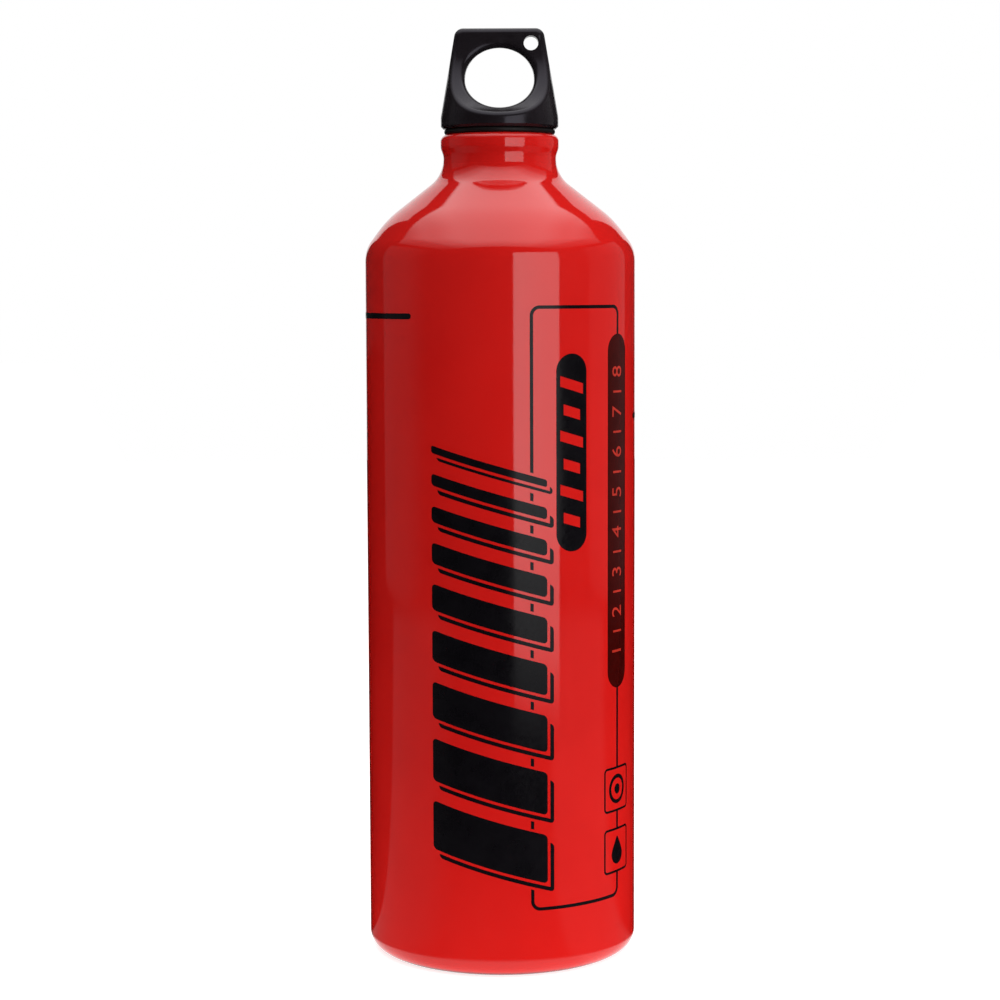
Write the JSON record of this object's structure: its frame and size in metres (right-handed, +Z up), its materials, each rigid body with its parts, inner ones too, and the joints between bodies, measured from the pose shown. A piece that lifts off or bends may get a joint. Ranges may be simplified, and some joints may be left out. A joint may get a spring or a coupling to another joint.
{
  "type": "camping fuel bottle",
  "caption": "Tall red aluminium fuel bottle with a domed shoulder, a rubber seal and a black screw stopper with a handle loop.",
  "frame": {"origin": "centre of the standing ring, on the surface the bottle stands on", "axes": "+Z up along the bottle's axis, the faces of the handle loop look along -Y and +Y, and the front with the print faces -Y"},
  "size_m": [0.09, 0.09, 0.3084],
  "materials": {
    "lacquered_shell": "gloss",
    "bare_aluminium": "satin",
    "print_ink": "gloss",
    "seal_rubber": "matte",
    "stopper_plastic": "gloss"
  },
  "bodies": {
    "bottle": {"bottle_shell": "lacquered_shell"},
    "seal": {"cap_seal": "seal_rubber"},
    "stopper": {"screw_cap": "stopper_plastic"}
  },
  "joints": [
    {"name": "cap_lift", "type": "slide", "parent": "bottle", "child": "seal", "axis": [0, 0, 1], "range_m": [0, 0.019]},
    {"name": "cap_turn", "type": "hinge", "parent": "seal", "child": "stopper", "pos_m": [0, 0, 0.27535], "axis": [0, 0, 1], "range_deg": [0, 2250]}
  ],
  "couplings": [
    {"joint": "cap_lift", "follows": "cap_turn", "m_per_rad": 0.00047746}
  ]
}
